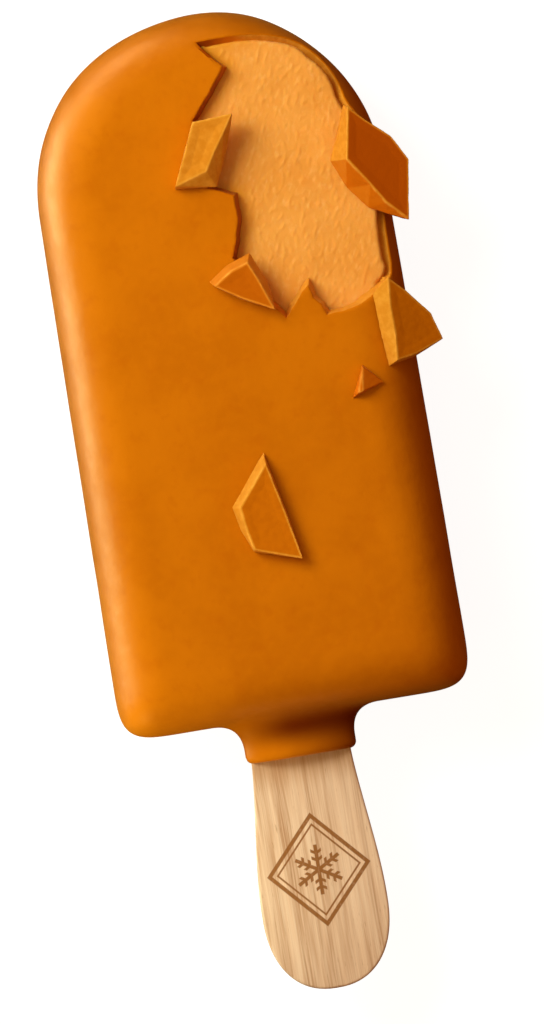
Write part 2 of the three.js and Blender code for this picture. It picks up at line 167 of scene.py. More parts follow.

# Loose pieces of coating: paired upper and lower outlines, set down on their own slope. Dish is the
# depth of the upper face's hollow, pale its share of the colour of a fresh break, shade the strength of
# the painted shade on it and on its sides towards -Y, away from the light, and shade_all the share of
# that for the rest. The foot's corners named as leaning go down to the ice cream
SHARD_GAP = 0.04
SHARD_VOXEL = 0.11
SHARD_ROUGHNESS = 0.045
SHARD_HIGHLIGHT = 0.3  # width of the painted highlight along each side of a broken edge
SHARD_BAND = 0.35  # width over which the skin gives way to the break
ROUGH_SIZES = (0.6, 1.8)
UPPER_FACING = (0.75, 0.2)  # cosine to the shard's plane at which its upper face starts, and its fade
HIGHLIGHT_FACING = 0.3
FOOT_FACING = -0.5
SMOOTHER_TOP = 0.75  # share of the roughness that the upper face lacks
DISH_REACH = 1.3
DISH_POWER = 1.5
SEAT_STEP = 0.2  # spacing of the points at which a shard's foot is set down
SHARDS = [
    {
        "name": "shard_left", "thickness": 2.2, "slope": (0.05, 0.01), "dish": 0.2, "pale": 0.6,
        "top": [(-1, 34.2), (-4.8, 25.8), (-0.2, 27.2), (1.3, 29.7), (3, 32.1), (4.5, 34.5)],
        "foot": [(-1.1, 34.3), (-4.9, 25.5), (0.9, 24.9), (1.8, 26.9), (3.2, 30.2), (4.6, 34.5)],
    },
    {
        "name": "shard_right", "thickness": 2.5, "slope": (-0.36, 0.02), "dish": 0.1, "shade": 0.85,
        "shade_all": 0.2,
        "top": [
            (20.4, 32.9), (19.1, 25.8), (21.8, 21.8), (23.5, 19.1), (26.3, 16.2), (27.6, 24.5),
            (25.7, 28), (22.5, 30.8),
        ],
        "foot": [
            (19.9, 33.4), (16.8, 26), (18.5, 22), (21, 18.8), (25.6, 16.5), (26.9, 24.3),
            (25, 27.6), (22, 30.9),
        ],
        "leaning": [1, 2],
    },
    {
        "name": "shard_low_left", "thickness": 2, "slope": (0.05, -0.05), "dish": 0.12, "shade": 0.55,
        "shade_all": 1,
        "top": [(-1.7, 11.4), (1.7, 9.2), (6, 6.9), (4.3, 11.6), (3.3, 13.9), (0.9, 13.1)],
        "foot": [(-2.4, 12.2), (1.6, 9.1), (6.2, 6.9), (5.6, 11), (3.8, 15.3), (0.4, 14.1)],
    },
    {
        "name": "shard_low_right", "thickness": 2.4, "slope": (-0.62, 0.03), "dish": 0.08,
        "top": [
            (22.1, 8.8), (21.7, 4.9), (21.8, 1), (21.5, -2.7), (24.3, -2.2), (28.3, -0.7), (27.2, 3),
            (24.3, 6.6),
        ],
        "foot": [
            (21.4, 9.1), (19.6, 6.8), (19.8, 2), (20.2, -3.3), (24.1, -2.5), (27.5, -0.9),
            (26.5, 2.9), (23.8, 6.6),
        ],
    },
    {
        "name": "chip", "thickness": 1.6, "slope": (-0.03, 0), "dish": 0, "shade": 0.95,
        "shade_all": 1,
        "top": [(16.6, -2.8), (15.6, -6.2), (16.1, -6.1)],
        "foot": [(16.6, -2.5), (14.5, -6.9), (19.2, -5.3)],
    },
    {
        "name": "shard_middle", "thickness": 1.9, "slope": (0.03, 0), "dish": 0.12, "shade": 0.3,
        "top": [(1.3, -13.7), (-3.2, -19.2), (-2.9, -21.9), (-2.2, -25.3), (4.2, -27.5), (2.8, -20.5)],
        "foot": [(1.2, -12.1), (-4.3, -19), (-3.7, -22), (-2.3, -25.5), (4.3, -27.6), (3, -20.4)],
    },
]

# Mesh sizes: points round the bar, and rings from its middle level to each face
OUTSIDE_GRID = (420, 72)
INSIDE_GRID = (200, 26)
SPINE_TIP_Y = ARCH_Y
SPINE_END_Y = -43.5
RAY_LENGTH = 60
RAY_HALVINGS = 34
TURN_LENGTH = 6  # length that a turn of one radian counts for, when points are spread
RING_CROWDING = 1.5  # power that brings the rings closer together at the widest level
STICK_END_STEPS = 22
STICK_HANDLE_STEPS = 60
STICK_EDGE_ANGLES = (15, 40, 65, 90)

# Camera: straight above the bar and turned, as far away as a long lens needs
CAMERA_AIM = (1.04, -20.49)
CAMERA_HEIGHT = 1500
CAMERA_TURN = -9.39  # degrees
FRAME_HEIGHT = 142.22  # height of the picture at the bar's middle level
SENSOR = 36

# Colours, as sRGB from 0 to 255
COAT_DEEP = (202, 109, 3)
COAT_LIGHT = (211, 117, 5)
COAT_POOL = (196, 99, 2)
# painted shade in the crease at the bar's end
COAT_CREASE_SHADE = (114, 39, 1)
COAT_SHINE = {
    "Specular_IOR_Level": 0.25, "Specular_Tint": (1, 0.8, 0.15, 1), "Sheen_Weight": 0.12,
    "Sheen_Roughness": 0.4, "Sheen_Tint": (1, 0.75, 0.15, 1),
}
BREAK_DEEP = (220, 141, 36)
BREAK_LIGHT = (230, 156, 50)
# painted highlight along the shards' broken edges
BREAK_HIGHLIGHT = (250, 178, 70)
# painted shade: on the shards' skin, on their breaks, and on the cracked walls
SHADED_SKIN = (182, 78, 2)
SHADED_BREAK = (212, 106, 4)
SHADED_WALL = (156, 58, 2)
ICE_DEEP = (241, 162, 65)
ICE_LIGHT = (249, 172, 76)
ICE_FLECK = (255, 190, 104)
# painted shade on the ice cream beside the cracked walls, orange like light thrown off the caramel
ICE_WALL_SHADE = (232, 146, 8)
WOOD_DEEP = (188, 142, 106)
WOOD_LIGHT = (242, 208, 177)
WOOD_FIBRE = (249, 224, 198)
WOOD_PORE = (164, 116, 76)
# painted shadow of the collar on the stick
WOOD_COLLAR_SHADOW = (186, 134, 88)
STAMP_BROWN = (146, 90, 38)

# Painted shade in the crease at the bar's end, before and past it, and painted shadow of the collar on the
# stick
CREASE_START = 2.5
CREASE_DEEPEST = 1.5
CREASE_LEFT = 5  # from this far to the left of the collar's middle, the painted shade is gone by the collar's end
COLLAR_SHADOW_REACH = 5
COLLAR_SHADOW_FULL = 0.5

# Mark on the handle
STAMP_CENTRE = (-0.65, -70.5)
STAMP_HALF_WIDTH = 6.9
STAMP_HALF_LENGTH = 7.6
STAR_RADIUS = 3.5
STAR_BARBS = (1.3, 2.3)
STAR_BARB_LENGTH = 0.75
STAMP_LINE = 0.55
STAMP_INNER_LINE = 0.25
STAMP_LINE_GAP = 0.85  # from the middle of one lozenge's line to that of the other
STAR_LINE = 0.5
STAR_BARB_LINE = 0.4
STAMP_SOFT = 0.06  # half width of the ink's soft edge
STAR_BARB_SOFT = 0.05

SHARP_ANGLE = 38  # degrees between faces, from which their edge isn't smoothed

# Floor, sky and lights
FLOOR_METRES = 40
FLOOR_GREY = 0.3
FLOOR_GLOW = 0.92
SKY_STRENGTH = 1
SKY = [  # by height
    (-0.1, (0.05, 0, 0)), (0.3, (0.22, 0.02, 0)), (0.6, (0.52, 0.21, 0.04)), (1, (0.36, 0.42, 0.27)),
]
LIGHTS = [
    {
        "name": "key", "azimuth": 42, "elevation": 45, "distance": 400, "size": 220, "power": 1.52,
        "colour": (0.95, 1, 0.92), "gloss": False,
    },
    {
        "name": "side", "azimuth": 18, "elevation": -10, "distance": 230, "size": 200, "power": 0.19,
        "colour": (0.78, 1, 0.66), "gloss": False,
    },
    {
        "name": "low", "azimuth": -59, "elevation": 8, "distance": 90, "size": 30, "power": 0.019,
        "colour": (0.86, 0.95, 0.6), "gloss": False,
    },
    {
        "name": "edge", "azimuth": 15, "elevation": -12, "distance": 470, "size": 300, "power": 4.1,
        "colour": (0.95, 0.96, 0.7), "gloss": True,
    },
    {
        "name": "top_edge", "azimuth": 60, "elevation": 0, "distance": 520, "size": 280, "power": 2.2,
        "colour": (1, 0.96, 0.85), "gloss": True,
    },
]


def power_length(a, b, power):
    """Length of a pair of coordinates measured with a power, where a negative one counts as zero."""
    return (np.maximum(a, 0) ** power + np.maximum(b, 0) ** power) ** (1 / power)


def unit(vectors):
    """Vectors brought to length 1."""
    return vectors / np.linalg.norm(vectors, axis=1)[:, None]


def plan_depth(x, y):
    """How far a point of the plan lies inside the bar's widest outline, up to CORNER_REACH."""
    rise = np.maximum(0, y - ARCH_Y) / ARCH_HEIGHT
    across = np.abs(x - APEX_SHIFT * np.minimum(rise, 1) ** APEX_SHIFT_POWER)
    side_depth = ARCH_HALF_WIDTH + SIDE_DRAFT * (ARCH_Y - y) - across
    arch_radius = np.sqrt((across / ARCH_HALF_WIDTH) ** 2 + rise**ARCH_POWER)
    side = np.where(rise > 0, ARCH_HALF_WIDTH * (1 - arch_radius), side_depth)
    return CORNER_REACH - power_length(CORNER_REACH - side, CORNER_REACH - (y - END_Y), CORNER_POWER)


def front_half(x, y):
    """Half thickness above the middle level, with the front's slight crown and slow waves."""
    along = np.sin(x / WAVE_ALONG[0] + y / WAVE_ALONG[1])
    wave = along * np.cos(y / WAVE_ACROSS[0] - x / WAVE_ACROSS[1])
    return MID_Z - CROWN * (x / ARCH_HALF_WIDTH) ** 2 - WAVE * (1 + wave) * 0.5


def body_field(x, y, z, size):
    """The bar's body at one of its sizes: negative inside, zero on the surface."""
    up = z - MID_Z
    half = np.where(up > 0, front_half(x, y), MID_Z) - size["face"]
    reach = EDGE_REACH - size["side"]
    inward = (EDGE_REACH - plan_depth(x, y)) / reach
    return reach * (power_length(inward, np.abs(up) / half, size["power"]) - 1)


def neck_field(x, y, z):
    """The collar, a flat oval bar with a rounded lip."""
    across = np.abs(x - NECK_X)
    up = np.abs(z - MID_Z)
    share = power_length(across / NECK_HALF_WIDTH, up / NECK_HALF_THICKNESS, NECK_POWER)
    share = np.maximum(share, 1e-6)
    side = np.maximum(np.hypot(across, up) * (1 - 1 / share), -NECK_HALF_WIDTH)
    beyond = np.maximum(NECK_END_Y - y, y - NECK_START_Y)
    return power_length(side + NECK_LIP, beyond + NECK_LIP, 2) - NECK_LIP


def outside_field(x, y, z):
    """Outside of the coating: body and collar joined by a fillet."""
    body = body_field(x, y, z, OUTSIDE)
    neck = neck_field(x, y, z)
    near = np.maximum(NECK_BLEND - np.abs(body - neck), 0)
    return np.minimum(body, neck) - near * near / (4 * NECK_BLEND)


def spine_rays(place):
    """Rays across the +X half of the bar, by places that run from 0 at the tip to 3 at the stick's end."""
    turn = np.where(place < 1, 1 - place, np.where(place < 2, 0, 2 - place)) * math.pi / 2
    along = np.clip(place - 1, 0, 1)
    return SPINE_TIP_Y + (SPINE_END_Y - SPINE_TIP_Y) * along, np.cos(turn), np.sin(turn)


def surface_points(field, start_y, dx, dy, elevation):
    """Where rays from the spine leave the field."""
    flat = np.cos(elevation)
    direction = np.stack([dx * flat, dy * flat, np.sin(elevation) + 0 * dx], -1)
    inside = np.zeros(len(dx))
    outside = np.full(len(dx), float(RAY_LENGTH))
    for _ in range(RAY_HALVINGS):
        half = (inside + outside) / 2
        place = direction * half[:, None]
        here = field(place[:, 0], start_y + place[:, 1], MID_Z + place[:, 2])
        inside = np.where(here < 0, half, inside)
        outside = np.where(here < 0, outside, half)
    return direction * inside[:, None] + np.stack([0 * dx, start_y, MID_Z + 0 * dx], -1)


def spread_places(field, count):
    """Places of the rays, spread evenly along the widest outline and closer where it turns."""
    places = np.linspace(0, 3, 3000)
    points = surface_points(field, *spine_rays(places), 0)
    steps = np.diff(points, axis=0)
    lengths = np.linalg.norm(steps, axis=1)
    heading = np.unwrap(np.arctan2(steps[:, 1], steps[:, 0]))
    turned = np.abs(np.diff(heading, prepend=heading[0]))
    covered = np.concatenate([[0], np.cumsum(lengths + TURN_LENGTH * turned)])
    return np.interp(np.linspace(0, covered[-1], count + 1), covered, places)


def field_mesh(name, field, grid):
    """Closed mesh of a field: rings of points from straight below the spine to straight above it."""
    around, up = grid
    places = spread_places(field, around // 2)
    start_y, dx, dy = spine_rays(np.concatenate([places, places[-2:0:-1]]))
    dx = dx * np.concatenate([np.ones(len(places)), -np.ones(len(places) - 2)])
    rings = []
    for k in range(-up, up + 1):
        share = k / up
        elevation = math.pi / 2 * math.copysign(abs(share) ** RING_CROWDING, share)
        rings.append(surface_points(field, start_y, dx, dy, elevation))
    return ring_mesh(name, rings, caps=False)


def plan_triangles(ring):
    """Triangles that fill a ring of points, worked out in plan."""
    return geometry.tessellate_polygon([[Vector((x, y, 0)) for x, y, _ in ring]])


def folded_out(points, a, b, c, d):
    """The two triangles of a bent quad, split so that it folds outward."""
    normal = np.cross(points[b] - points[a], points[c] - points[a])
    if normal @ (points[d] - points[a]) > 0:
        return [(a, b, d), (b, c, d)]
    return [(a, b, c), (a, c, d)]


def ring_mesh(name, rings, caps=True, fold=False):
    """Closed mesh through rings of points, with vertices that meet merged and faces turned out."""
    count = len(rings[0])
    points = np.concatenate(rings)
    faces = []
    for r in range(len(rings) - 1):
        for i in range(count):
            here, after = r * count + i, r * count + (i + 1) % count
            quad = (here, after, after + count, here + count)
            faces += folded_out(points, *quad) if fold else [quad]
    if caps:
        last = (len(rings) - 1) * count
        faces += [tuple(t) for t in plan_triangles(rings[0])]
        faces += [tuple(last + i for i in t) for t in plan_triangles(rings[-1])]
    return closed_object(name, points, faces)


def closed_object(name, points, faces):
    """Object of points and faces, with points that meet merged and the faces turned out."""
    mesh = bpy.data.meshes.new(name)
    mesh.from_pydata([tuple(p) for p in points], [], faces)
    bm = bmesh.new()
    bm.from_mesh(mesh)
    bmesh.ops.remove_doubles(bm, verts=bm.verts, dist=1e-4)
    bmesh.ops.dissolve_degenerate(bm, edges=bm.edges, dist=1e-5)
    bmesh.ops.recalc_face_normals(bm, faces=bm.faces)
    bm.to_mesh(mesh)
    bm.free()
    obj = bpy.data.objects.new(name, mesh)
    bpy.context.scene.collection.objects.link(obj)
    return obj


def apply_modifiers(obj):
    """Keeps the shape that the object's modifiers give, and drops them."""
    bpy.context.view_layer.update()
    depsgraph = bpy.context.evaluated_depsgraph_get()
    made = bpy.data.meshes.new_from_object(obj.evaluated_get(depsgraph))
    obj.modifiers.clear()
    obj.data = made


def combine(obj, other, operation):
    """Boolean of two closed meshes. The other one is used up."""
    modifier = obj.modifiers.new("combine", "BOOLEAN")
    modifier.solver = "MANIFOLD"
    modifier.operation = operation
    modifier.object = other
    apply_modifiers(obj)
    bpy.data.objects.remove(other)


def drop_scraps(obj):
    """Keeps only the largest connected part of a mesh."""
    bm = bmesh.new()
    bm.from_mesh(obj.data)
    left = set(bm.verts)
    largest = set()
    while left:
        front = [left.pop()]
        island = set(front)
        while front:
            vert = front.pop()
            near = {edge.other_vert(vert) for edge in vert.link_edges} & left
            left -= near
            island |= near
            front += near
        largest = max(largest, island, key=len)
    bmesh.ops.delete(bm, geom=[v for v in bm.verts if v not in largest], context="VERTS")
    bm.to_mesh(obj.data)
    bm.free()


def read_points(obj):
    points = np.empty(len(obj.data.vertices) * 3)
    obj.data.vertices.foreach_get("co", points)
    return points.reshape(-1, 3)


def write_points(obj, points):
    obj.data.vertices.foreach_set("co", points.ravel())
    obj.data.update()


def bumps(points, size, seed=0):
    """Smooth noise from about -1 to 1 at each point, with features of about the given size."""
    shift = Vector((31.7 * seed, 17.3 * seed, 5.9 * seed))
    return np.array([noise.noise(Vector(p) / size + shift) for p in points])


def front_z(x, y, size=OUTSIDE):
    """Height of the front at a point of the plan, or of the floor outside the bar."""
    inward = (EDGE_REACH - plan_depth(x, y)) / (EDGE_REACH - size["side"])
    half = front_half(x, y) - size["face"]
    rise = half * (1 - np.clip(inward, 0, 1) ** size["power"]) ** (1 / size["power"])
    return np.where(inward >= 1, 0, MID_Z + rise)


def outside_normals(points):
    """Normals of the bar's outside at points on it."""
    step = 0.05
    x, y, z = points.T
    slopes = [
        body_field(x + dx, y + dy, z + dz, OUTSIDE) - body_field(x - dx, y - dy, z - dz, OUTSIDE)
        for dx, dy, dz in np.eye(3) * step
    ]
    return unit(np.stack(slopes, -1))


def smooth_curve(corners, steps):
    """Points along a spline through the corners, without the two ends."""
    corners = np.array(corners, float)
    padded = np.concatenate([[2 * corners[0] - corners[1]], corners, [2 * corners[-1] - corners[-2]]])
    fine = []
    for a, b, c, d in zip(padded, padded[1:], padded[2:], padded[3:]):
        square = 2 * a - 5 * b + 4 * c - d
        cube = 3 * b - a - 3 * c + d
        for t in np.linspace(0, 1, 20, endpoint=False):
            fine.append(0.5 * (2 * b + (c - a) * t + square * t**2 + cube * t**3))
    fine = np.array(fine + [corners[-1]])
    covered = np.concatenate([[0], np.cumsum(np.linalg.norm(np.diff(fine, axis=0), axis=1))])
    wanted = np.linspace(0, covered[-1], steps + 1)[1:-1]
    return np.stack([np.interp(wanted, covered, fine[:, k]) for k in range(2)], -1)


def wall_shift(normal_z, height):
    """How far out of the break its wall stands at a height over the surface, where the front is flat."""
    return FRACTURE_SLANT * normal_z**2 * min(height / CAVITY["face"], 0)


def break_corners():
    """Corners of the break on the coating's surface, with the normal, the ways out of the break across
    the edges that follow, and the way across the corner itself."""
    rim = smooth_curve([CRACKED_EDGE[-1], *RIM_CURVE, CRACKED_EDGE[0]], RIM_STEPS)
    plan = np.concatenate([CRACKED_EDGE, rim])
    corners = np.column_stack([plan, front_z(plan[:, 0], plan[:, 1])])
    normals = outside_normals(corners)
    forward = np.roll(corners, -1, axis=0) - corners
    after = unit(np.cross(forward, normals))
    before = unit(np.cross(np.roll(forward, 1, axis=0), normals))
    across = unit(before + after)
    mitre = np.minimum(1 / np.maximum((across * before).sum(1), 0.1), MITRE_LIMIT)
    return corners, normals, forward, after, across * mitre[:, None]


def break_rings(heights, flares):
    """Rings of fine points round the break, at heights over the coating's surface. A flare moves a
    ring outward."""
    corners, normals, forward, after, across = break_corners()
    draw = np.random.default_rng(CRACK_SEED)
    counts = [max(int(np.linalg.norm(f) / FRACTURE_STEP), 1) for f in forward]
    wander = [crack_wander(draw, n, np.linalg.norm(f)) for n, f in zip(counts, forward)]
    from_corner = np.concatenate([clear_of_corners(n) for n in counts])
    rings = []
    for height, flare in zip(heights, flares):
        shift = [wall_shift(n[2], height) + flare for n in normals]
        level = corners + normals * height + across * np.array(shift)[:, None]
        ring = []
        for i, count in enumerate(counts):
            following = level[(i + 1) % len(level)]
            for k in range(count):
                point = level[i] + (following - level[i]) * k / count
                ring.append(point + after[i] * wander[i][k])
        ring = np.array(ring)
        uneven = sum(bumps(ring, size, seed) for seed, size in enumerate(CHIPPING_SIZES))
        chipped = CHIPPING * uneven * from_corner
        way_out = np.repeat(after, counts, axis=0)
        rings.append(ring + way_out * chipped[:, None] * min(1, max(-height, 0) * CHIPPING_RISE))
    return rings


def clear_of_corners(count):
    """For the points between two corners of a crack: 0 at the corners, and 1 two points away."""
    k = np.arange(count)
    return np.minimum(1, np.minimum(k, count - k) / 2)


def crack_wander(draw, count, length):
    """Sideways wander of the points between two corners of a crack, none at the corners."""
    t = np.arange(count) / count
    total = np.zeros(count)
    for waves in (1, 2, 3, 5):
        total += draw.uniform(-1, 1) * np.sin(math.pi * waves * t) / waves
    return total * JAG * length


def break_cutter():
    """Solid that takes the coating out of the break, with a rounded upper edge."""
    face = CAVITY["face"]
    heights = [-face - CUTTER_DEPTH, -face, *FRACTURE_LEVELS, -FRACTURE_LIP]
    flares = [0] * len(heights)
    for angle in np.radians(LIP_ANGLES):
        heights.append(-FRACTURE_LIP * (1 - math.sin(angle)))
        flares.append(FRACTURE_LIP * (1 - math.cos(angle)))
    flares += [flares[-1] + (CUTTER_CLEAR - heights[-1]) * math.tan(angle)] * 2
    heights += [CUTTER_CLEAR, CUTTER_TOP]
    return ring_mesh("break_cutter", break_rings(heights, flares))


def shaded_side(x, reach=0):
    """1 towards -X, where the coating's broken walls face away from the light and get painted shade, and 0
    towards the rim.
    """
    return np.clip((CRACKED_SHADE_X + reach - x) / CRACKED_SHADE_FADE, 0, 1)


def build_coating():
    """The shell with shallow hollows in its outside, cut by its cavity, the stick's slot and the break."""
    coating = field_mesh("coating_shell", outside_field, OUTSIDE_GRID)
    points = read_points(coating)
    hollows = RIPPLE * (1 + bumps(points, RIPPLE_SIZE)) / 2
    x, y, z = points.T
    inward = unit(np.column_stack([-x, np.clip(y, SPINE_END_Y, SPINE_TIP_Y) - y, MID_Z - z]))
    write_points(coating, points + inward * hollows[:, None])
    cavity = field_mesh("cavity", lambda x, y, z: body_field(x, y, z, CAVITY), INSIDE_GRID)
    combine(coating, cavity, "DIFFERENCE")
    combine(coating, stick_solid("slot", SLOT_CLEARANCE), "DIFFERENCE")
    combine(coating, break_cutter(), "DIFFERENCE")
    drop_scraps(coating)
    set_break_and_highlight_share(coating, np.ones(len(coating.data.vertices)))
    # Painted shade on the cracked walls, towards -X
    set_shade(coating, WALL_SHADE * shaded_side(read_points(coating)[:, 0]))
    return coating


def face_plane(x, y):
    """Height of the ice cream's face in the break, without its unevenness."""
    return FACE_Z + FACE_SLOPE_X * (x - FACE_X) + FACE_SLOPE_Y * (y - FACE_Y)


def face_relief(x, y):
    """Unevenness of the ice cream: short separate bumps that lean one way, on slow swells."""
    turn = math.radians(GRAIN_TURN)
    along = (-math.sin(turn) * x + math.cos(turn) * y) / GRAIN_LENGTH
    across = (math.cos(turn) * x + math.sin(turn) * y) / GRAIN_WIDTH
    grains = bumps(np.column_stack([across, along, 0 * x]), 1)
    places = np.column_stack([x, y, 0 * x])
    fine = bumps(places, FINE_SIZE, 3)
    swell = bumps(places, SWELL_SIZE, 2)
    raised = GRAIN_GAIN * np.maximum(grains, GRAIN_LOW) + FINE_SHARE * fine
    return GRAIN_HEIGHT * raised + SWELL_HEIGHT * swell


def upright_prism(name, outline, low, high):
    """Closed prism over an outline of the plan."""
    return ring_mesh(name, [np.column_stack([outline, np.full(len(outline), z)]) for z in (low, high)])


def filled_outline():
    """Outline that the ice cream keeps to along the rim. Along the cracked edge it lies outside the
    break, where the coating bounds the ice cream."""
    corners, normals, _, _, across = break_corners()
    steep = np.clip(2 * (1 - normals[:, 2]), 0, 1)
    inset = FACE_INSET[0] + (FACE_INSET[1] - FACE_INSET[0]) * steep
    on_rim = np.arange(len(corners)) >= len(CRACKED_EDGE)
    return corners[:, :2] - unit(across[:, :2]) * np.where(on_rim, inset, -BLOCK_OVERLAP)[:, None]


def face_heights(xs, ys, edge):
    """Heights of the ice cream's face over a grid of the plan, rounded off along its outer edge."""
    x, y = (g.ravel() for g in np.meshgrid(xs, ys))
    from_edge = outline_distance(edge, x, y) * points_inside(edge, x, y)
    rounding = FACE_ROUND * (1 - np.sqrt(1 - (1 - np.clip(from_edge / FACE_ROUND, 0, 1)) ** 2))
    height = face_plane(x, y) + face_relief(x, y) - GRAIN_HEIGHT - SWELL_HEIGHT / 2 - rounding
    return height.reshape(len(ys), len(xs))


def build_ice_cream(coating):
    """The core, cut down to its face in the break, with a block that fills the break up to its rim."""
    core = field_mesh("ice_cream_core", lambda x, y, z: body_field(x, y, z, CORE), INSIDE_GRID)
    xs = np.arange(*FACE_RANGE_X, FACE_STEP)
    ys = np.arange(*FACE_RANGE_Y, FACE_STEP)
    block_edge = filled_outline()
    height = face_heights(xs, ys, block_edge)
    block = height_slab("face_block", xs, ys, height, MID_Z + BLOCK_DEPTH)
    combine(block, upright_prism("block_prism", block_edge, MID_Z, 2 * MID_Z), "INTERSECT")
    coat_copy = bpy.data.objects.new("coat_copy", coating.data.copy())
    bpy.context.scene.collection.objects.link(coat_copy)
    combine(block, coat_copy, "DIFFERENCE")

    corners, normals, _, _, across = break_corners()
    cutter = height_slab("face_cutter", xs, ys, height, 2 * MID_Z + 1)
    under_foot = FOOT_CLEAR - FRACTURE_SLANT * normals[:, 2] ** 2
    foot = corners + across * under_foot[:, None]
    combine(cutter, upright_prism("face_prism", foot[:, :2], MID_Z - 3, 2 * MID_Z + 3), "INTERSECT")
    combine(core, cutter, "DIFFERENCE")
    combine(core, block, "UNION")
    combine(core, stick_solid("slot", SLOT_CLEARANCE), "DIFFERENCE")
    drop_scraps(core)
    return core


def shade_ice_cream_by_walls(ice_cream):
    """Paints shade onto the ice cream beside the cracked walls of the break, in the orange of light thrown
    off the caramel.
    """
    x, y = read_points(ice_cream)[:, :2].T
    from_wall = outline_distance(break_corners()[0][:, :2], x, y)
    set_shade(ice_cream, np.clip(1 - from_wall / ICE_SHADE_REACH, 0, 1) * shaded_side(x, ICE_SHADE_REACH))


def outline_distance(outline, x, y):
    """Distance of each point of the plan from a closed outline."""
    nearest = np.full(len(x), 1e9)
    for a, b in zip(outline, np.roll(outline, -1, axis=0)):
        side = b - a
        share = np.clip(((x - a[0]) * side[0] + (y - a[1]) * side[1]) / (side @ side), 0, 1)
        nearest = np.minimum(nearest, np.hypot(x - a[0] - share * side[0], y - a[1] - share * side[1]))
    return nearest


def height_slab(name, xs, ys, height, top):
    """Closed block between a relief and a level, which may lie above or below it."""
    rows, columns = height.shape
    x, y = np.meshgrid(xs, ys)
    under = np.stack([x, y, height], -1).reshape(-1, 3)
    over = np.stack([x, y, 0 * x + top], -1).reshape(-1, 3)
    faces = []
    for r in range(rows - 1):
        for c in range(columns - 1):
            a = r * columns + c
            faces.append((a, a + 1, a + columns + 1, a + columns))
    border = list(range(columns))
    border += [r * columns + columns - 1 for r in range(1, rows)]
    border += [(rows - 1) * columns + c for c in range(columns - 2, -1, -1)]
    border += [r * columns for r in range(rows - 2, 0, -1)]
    count = len(under)
    place = {v: count + i for i, v in enumerate(border)}
    for a, b in zip(border, border[1:] + border[:1]):
        faces.append((b, a, place[a], place[b]))
    faces.append(tuple(place[v] for v in border))
    return closed_object(name, np.concatenate([under, over[border]]), faces)


def stick_half_width(y):
    """Half width of the stick, from its hidden round end to the round end of the handle."""
    if y > NECK_END_Y:
        round_share = max(y - (STICK_TOP_Y - STICK_NARROW), 0) / STICK_NARROW
        return STICK_NARROW * math.sqrt(max(1 - round_share**2, 0))
    if y > STICK_WIDE_Y:
        share = (NECK_END_Y - y) / (NECK_END_Y - STICK_WIDE_Y)
        flare = math.sin(math.pi / 2 * share**STICK_FLARE_POWER)
        return STICK_NARROW + (STICK_WIDE - STICK_NARROW) * flare
    share = (STICK_WIDE_Y - y) / (STICK_WIDE_Y - STICK_END_Y)
    return STICK_WIDE * max(1 - share**STICK_END_POWER, 0) ** (1 / STICK_END_POWER)


def stick_solid(name, clearance=0.0):
    """The stick with rounded edges, or with a clearance the slot that it sits in."""
    quarter = math.pi / 2
    rounds = [math.sin(quarter * k / STICK_END_STEPS) for k in range(STICK_END_STEPS + 1)]
    levels = [STICK_TOP_Y - STICK_NARROW + STICK_NARROW * r for r in reversed(rounds)]
    levels += list(np.linspace(NECK_END_Y, STICK_WIDE_Y, STICK_HANDLE_STEPS))
    levels += [STICK_WIDE_Y + (STICK_END_Y - STICK_WIDE_Y) * r for r in rounds[1:]]
    middle = [STICK_X - STICK_LEAN * (NECK_END_Y - y) for y in levels]
    right = [(m + stick_half_width(y), y) for m, y in zip(middle, levels)]
    left = [(m - stick_half_width(y), y) for m, y in zip(middle, levels)]
    outline = np.array(right + left[-2:0:-1])
    forward = np.roll(outline, -1, axis=0) - np.roll(outline, 1, axis=0)
    out = unit(np.column_stack([-forward[:, 1], forward[:, 0]]))
    half = STICK_THICKNESS / 2
    rings = []
    for side in (-1, 1):
        for angle in np.radians(STICK_EDGE_ANGLES[::side]):
            flat = STICK_EDGE * (1 - math.cos(angle)) - clearance
            up = half - STICK_EDGE * (1 - math.sin(angle)) + clearance
            ring = outline - out * flat
            rings.append(np.column_stack([ring, np.full(len(ring), MID_Z + side * up)]))
    return ring_mesh(name, rings)


def points_inside(outline, x, y):
    """Which points of the plan lie inside a closed outline."""
    odd = np.zeros(len(x), bool)
    for (ax, ay), (bx, by) in zip(outline, np.roll(outline, 1, axis=0)):
        crosses = (ay > y) != (by > y)
        with np.errstate(divide="ignore", invalid="ignore"):
            odd ^= crosses & (x < ax + (bx - ax) * (y - ay) / (by - ay))
    return odd


def seated_height(shard):
    """Height at which a shard's sloping foot touches what lies below it."""
    foot = np.array(shard["foot"])
    grid = [np.arange(lo, hi, SEAT_STEP) for lo, hi in zip(foot.min(0), foot.max(0))]
    x, y = (g.ravel() for g in np.meshgrid(*grid))
    under = points_inside(foot, x, y)
    x, y = x[under], y[under]
    hole = break_corners()[0][:, :2]
    open_face = np.where(points_inside(filled_outline(), x, y), face_plane(x, y), front_z(x, y, CORE))
    below = np.where(points_inside(hole, x, y), open_face, front_z(x, y))
    return (below - shard["slope"][0] * x - shard["slope"][1] * y).max()


def shard_block(shard):
    """Finely meshed block of a shard from its foot, set down on what lies below, to its upper face."""
    slope = np.array(shard["slope"])
    lift = seated_height(shard) + SHARD_GAP
    foot = np.array([(x, y, lift + slope @ (x, y)) for x, y in shard["foot"]])
    for corner in shard.get("leaning", []):
        foot[corner, 2] = face_plane(*foot[corner, :2]) + SHARD_GAP
    top = np.array([(x, y, lift + slope @ (x, y) + shard["thickness"]) for x, y in shard["top"]])
    piece = ring_mesh(shard["name"] + "_piece", [foot, top], fold=True)
    remesh = piece.modifiers.new("remesh", "REMESH")
    remesh.mode = "VOXEL"
    remesh.voxel_size = SHARD_VOXEL
    apply_modifiers(piece)
    return piece


